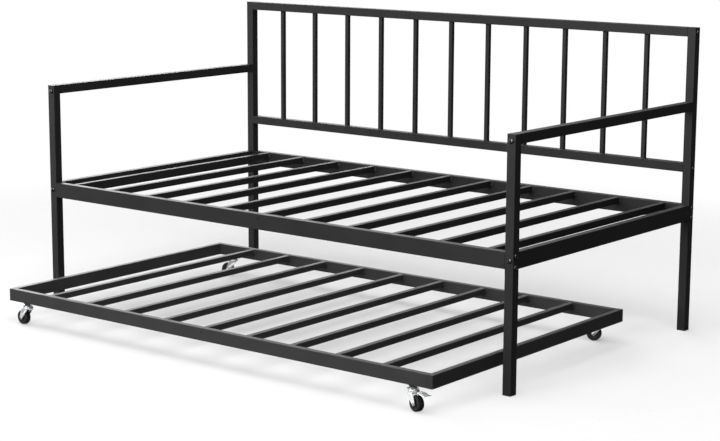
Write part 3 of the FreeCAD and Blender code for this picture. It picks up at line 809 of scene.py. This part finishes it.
def bolt_seats():
    """Seat point and outward direction of each bolt, read from the solids of the bolt node.

    A bolt's seat is on the outer face of the posts that its head stands out from.
    """
    left_front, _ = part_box("post_front_left")
    _, right_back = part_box("post_rear_right")
    bm = bmesh.new()
    bm.from_mesh(NODES["frame_bolts"].data)
    bmesh.ops.remove_doubles(bm, verts=bm.verts, dist=CAD_MERGE_DISTANCE)
    seats = []
    for solid in separate_solids(bm):
        low, high = span([vertex.co for vertex in solid])
        for axis in (0, 1):
            ends = ((-1, low[axis], left_front[axis]), (1, high[axis], right_back[axis]))
            for direction, tip, face in ends:
                if direction * (tip - face) > BOLT_HEAD_HEIGHT / 2:
                    seat = (low + high) / 2
                    seat[axis] = face
                    outward = Vector((0, 0, 0))
                    outward[axis] = direction
                    seats.append((seat, outward))
    bm.free()
    return seats


def make_bolts():
    seats = bolt_seats()

    def all_bolts(bm):
        for seat, outward in seats:
            bolt_mesh(bm, seat, outward)

    bolts = new_piece("button_head_bolts", all_bolts, "bolt_black", "daybed_frame")
    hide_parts("frame_bolts")


# ---- Weld beads ----
def rippled(leg, depth, ripples):
    """Leg of a bead after so many ripples of its length: less by the share depth between two."""
    return leg * (1 - depth + depth * abs(math.sin(math.pi * ripples)))


def bead_section(corner, wall_a, wall_b, leg):
    """Section of a fillet weld: the corner, and a flattened quarter round from wall_a to wall_b."""
    section = [corner]
    for step in range(WELD_SECTION_STEPS + 1):
        angle = math.radians(90 * step / WELD_SECTION_STEPS)
        share = 1 - WELD_FLATTENING + WELD_FLATTENING * abs(math.cos(2 * angle))
        section.append(corner + (wall_a * math.cos(angle) + wall_b * math.sin(angle)) * leg * share)
    return section


def bead(bm, start, end, wall_a, wall_b, leg):
    """Straight fillet weld between two faces that leave the line along wall_a and wall_b.

    It is rippled, and thins out towards both ends.
    """
    run = end - start
    steps = max(WELD_FEWEST_RINGS, int(run.length / WELD_RIPPLE * WELD_RINGS_PER_RIPPLE))
    rings = []
    for index in range(steps + 1):
        t = index / steps
        thinned = min(1.0, WELD_END_SHARE + WELD_END_GROWTH * min(t, 1 - t))
        size = rippled(leg, STRAIGHT_WELD_RIPPLE_DEPTH, t * run.length / WELD_RIPPLE) * thinned
        rings.append(bead_section(start + run * t, wall_a, wall_b, size))
    skin(bm, rings, capped=True)


def bar_end_beads(bm, place, low, high, end_y, inward):
    """Beads on the two upright sides and the underside of a slat where it meets a rail."""
    turn = place.to_3x3()
    margin = SLAT_WELD_MARGIN
    wall_slat = turn @ Vector((0, inward, 0))
    for x, outward in ((low.x, -1), (high.x, 1)):
        wall_rail = turn @ Vector((outward, 0, 0))
        start = place @ Vector((x, end_y, low.z + margin))
        end = place @ Vector((x, end_y, high.z - margin))
        bead(bm, start, end, wall_slat, wall_rail, SLAT_WELD_LEG)
    start = place @ Vector((low.x + margin, end_y, low.z))
    end = place @ Vector((high.x - margin, end_y, low.z))
    bead(bm, start, end, wall_slat, turn @ -UP, SLAT_WELD_LEG)


def make_slat_welds(name, prefix, place, slot, body):
    slats = [node for node in sorted(NODES) if node.startswith(prefix)]

    def all_beads(bm):
        for node in slats:
            low, high = local_box(node, place)
            bar_end_beads(bm, place, low, high, low.y, 1)
            bar_end_beads(bm, place, low, high, high.y, -1)

    new_piece(name, all_beads, slot, body, "weld_metal")


def ring_bead(bm, centre, radius, leg):
    """Rippled weld round the top of an upright boss, in the corner under a flat face."""
    ripples = int(2 * math.pi * radius / WELD_RIPPLE)
    steps = ripples * WELD_RINGS_PER_RIPPLE
    rings = []
    for index in range(steps):
        angle = 2 * math.pi * index / steps
        outward = Vector((math.cos(angle), math.sin(angle), 0))
        size = rippled(leg, RING_WELD_RIPPLE_DEPTH, ripples * index / steps)
        rings.append(bead_section(centre + outward * radius, outward, -UP, size))
    skin(bm, rings + [rings[0]])


def make_boss_welds():
    rail_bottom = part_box("caster_bosses")[1].z

    def all_beads(bm):
        for corner in CORNERS:
            swivel = joint_place("swivel_" + corner)
            ring_bead(bm, Vector((swivel.x, swivel.y, rail_bottom)), BOSS_RADIUS, BOSS_WELD_LEG)

    new_piece("caster_boss_welds", all_beads, "trundle_powder_coat", "trundle", "weld_metal")


def make_spindle_welds():
    """A bead on each side of each spindle, at both ends."""
    low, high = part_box("back_spindles")
    rail_low, rail_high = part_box("back_rail_lower")
    pitch = (rail_high.x - rail_low.x + SPINDLE_SIZE) / (SPINDLE_COUNT + 1)
    middle = (low.y + high.y) / 2
    half = SPINDLE_SIZE / 2
    inset = half - SPINDLE_WELD_MARGIN

    def all_beads(bm):
        for number in range(SPINDLE_COUNT):
            x = rail_low.x - half + (number + 1) * pitch
            for z, away in ((low.z, UP), (high.z, -UP)):
                centre = Vector((x, middle, z))
                for outward, along in SPINDLE_SIDES:
                    face = centre + outward * half
                    bead(bm, face - along * inset, face + along * inset, outward, away, SPINDLE_WELD_LEG)

    new_piece("spindle_welds", all_beads, "frame_powder_coat", "daybed_frame", "weld_metal")


# ---- Floor, lights and camera ----
def make_floor():
    data = bpy.data.meshes.new("studio_floor")
    bm = bmesh.new()
    bmesh.ops.create_circle(bm, cap_ends=True, segments=FLOOR_SEGMENTS, radius=FLOOR_RADIUS)
    bm.to_mesh(data)
    bm.free()
    floor = bpy.data.objects.new("studio_floor", data)
    bpy.context.scene.collection.objects.link(floor)
    data.materials.append(studio_floor("studio_floor"))
    floor.visible_glossy = False


def area_light(name, place, width, height, power):
    """Rectangular light, unseen by the camera, that faces LIGHT_TARGET."""
    data = bpy.data.lights.new(name, "AREA")
    data.shape = "RECTANGLE"
    data.size = width
    data.size_y = height
    data.energy = power
    light = bpy.data.objects.new(name, data)
    bpy.context.scene.collection.objects.link(light)
    light.location = place
    light.rotation_mode = "QUATERNION"
    light.rotation_quaternion = (Vector(LIGHT_TARGET) - Vector(place)).to_track_quat("-Z", "Y")
    light.visible_camera = False


def make_room():
    """White backdrop for the camera; for the object, a dim room with a few glows."""
    world = bpy.data.worlds.new("studio")
    world.use_nodes = True
    bpy.context.scene.world = world
    nodes, links = world.node_tree.nodes, world.node_tree.links
    output = next(n for n in nodes if n.type == "OUTPUT_WORLD")
    room = next(n for n in nodes if n.type == "BACKGROUND")
    coordinates = nodes.new("ShaderNodeTexCoord")
    brightness = nodes.new("ShaderNodeValue")
    brightness.outputs[0].default_value = ROOM_DIM
    total = brightness.outputs[0]
    for direction, rim, strength in ROOM_GLOWS:
        toward = nodes.new("ShaderNodeVectorMath")
        toward.operation = "DOT_PRODUCT"
        toward.inputs[1].default_value = Vector(direction).normalized()
        links.new(coordinates.outputs["Generated"], toward.inputs[0])
        spread = nodes.new("ShaderNodeMapRange")
        spread.interpolation_type = "SMOOTHSTEP"
        spread.inputs["From Min"].default_value = rim
        spread.inputs["To Max"].default_value = strength
        links.new(toward.outputs["Value"], spread.inputs["Value"])
        added = nodes.new("ShaderNodeMath")
        links.new(total, added.inputs[0])
        links.new(spread.outputs["Result"], added.inputs[1])
        total = added.outputs["Value"]
    links.new(total, room.inputs["Strength"])
    room.inputs["Color"].default_value = (1.0, 1.0, 1.0, 1.0)
    backdrop = nodes.new("ShaderNodeBackground")
    backdrop.inputs["Color"].default_value = (1.0, 1.0, 1.0, 1.0)
    backdrop.inputs["Strength"].default_value = BACKDROP_BRIGHTNESS
    path = nodes.new("ShaderNodeLightPath")
    mix = nodes.new("ShaderNodeMixShader")
    links.new(path.outputs["Is Camera Ray"], mix.inputs["Fac"])
    links.new(room.outputs["Background"], mix.inputs[1])
    links.new(backdrop.outputs["Background"], mix.inputs[2])
    links.new(mix.outputs["Shader"], output.inputs["Surface"])


def make_lights():
    for light in AREA_LIGHTS:
        area_light(*light)


def make_camera():
    data = bpy.data.cameras.new("camera")
    data.sensor_fit = "HORIZONTAL"
    data.sensor_width = CAMERA_SENSOR_WIDTH
    data.lens = CAMERA_LENS
    data.clip_start = CAMERA_CLIP_START
    data.clip_end = CAMERA_CLIP_END
    camera = bpy.data.objects.new("camera", data)
    bpy.context.scene.collection.objects.link(camera)
    level_share = math.cos(CAMERA_PITCH)
    ahead = (math.sin(CAMERA_YAW) * level_share, math.cos(CAMERA_YAW) * level_share)
    forward = Vector((*ahead, math.sin(CAMERA_PITCH)))
    level = Vector((math.cos(CAMERA_YAW), -math.sin(CAMERA_YAW), 0.0))
    upright = level.cross(forward)
    right = level * math.cos(CAMERA_ROLL) + upright * math.sin(CAMERA_ROLL)
    up = right.cross(forward)
    turn = Matrix((right, up, -forward)).transposed().to_4x4()
    camera.matrix_world = Matrix.Translation(CAMERA_PLACE) @ turn
    bpy.context.scene.camera = camera


dress_nodes()
make_tyres()
make_casters()
make_bolts()
make_slat_welds(
    "seat_slat_welds", "seat_slat", Matrix.Identity(4), "frame_powder_coat", "daybed_frame"
)
make_slat_welds(
    "trundle_slat_welds", "trundle_slat", trundle_frame(), "trundle_powder_coat", "trundle"
)
make_boss_welds()
make_spindle_welds()
make_floor()
make_room()
make_lights()
make_camera()
bpy.context.scene.view_settings.view_transform = "Standard"
